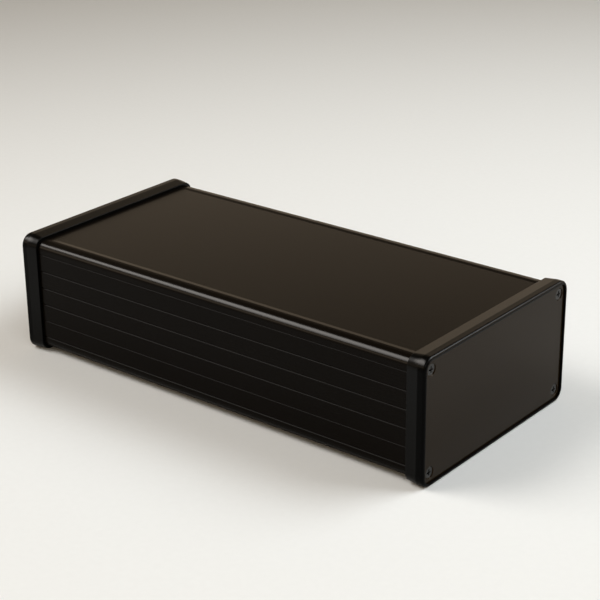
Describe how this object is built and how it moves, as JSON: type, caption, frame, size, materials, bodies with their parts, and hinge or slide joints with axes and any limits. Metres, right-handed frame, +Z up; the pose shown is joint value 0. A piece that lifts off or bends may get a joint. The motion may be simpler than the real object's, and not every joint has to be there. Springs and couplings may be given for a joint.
{
  "type": "extruded aluminium enclosure",
  "caption": "Long rectangular electronics enclosure: black anodised aluminium extrusion with scored sides, moulded end bezels and screwed flat end panels.",
  "frame": {"origin": "on the standing surface, below the middle of the enclosure", "axes": "+X runs along the extrusion to the front panel, +Y runs across it, +Z is up from the surface that the two bezels stand on"},
  "size_m": [0.2256, 0.1068, 0.0568],
  "materials": {
    "anodised_body": "black anodised, satin, with fine lines along the extrusion",
    "anodised_panel": "black anodised sheet, satin",
    "moulded_plastic": "black moulded plastic, smooth with a soft sheen",
    "black_screw": "black plated steel, countersunk cross recess"
  },
  "bodies": {
    "root": {"body_extrusion": "anodised_body", "bottom_cover": "anodised_body", "front_bezel": "moulded_plastic", "rear_bezel": "moulded_plastic", "front_panel": "anodised_panel", "rear_panel": "anodised_panel", "front_screws": "black_screw", "rear_screws": "black_screw"}
  },
  "joints": []
}
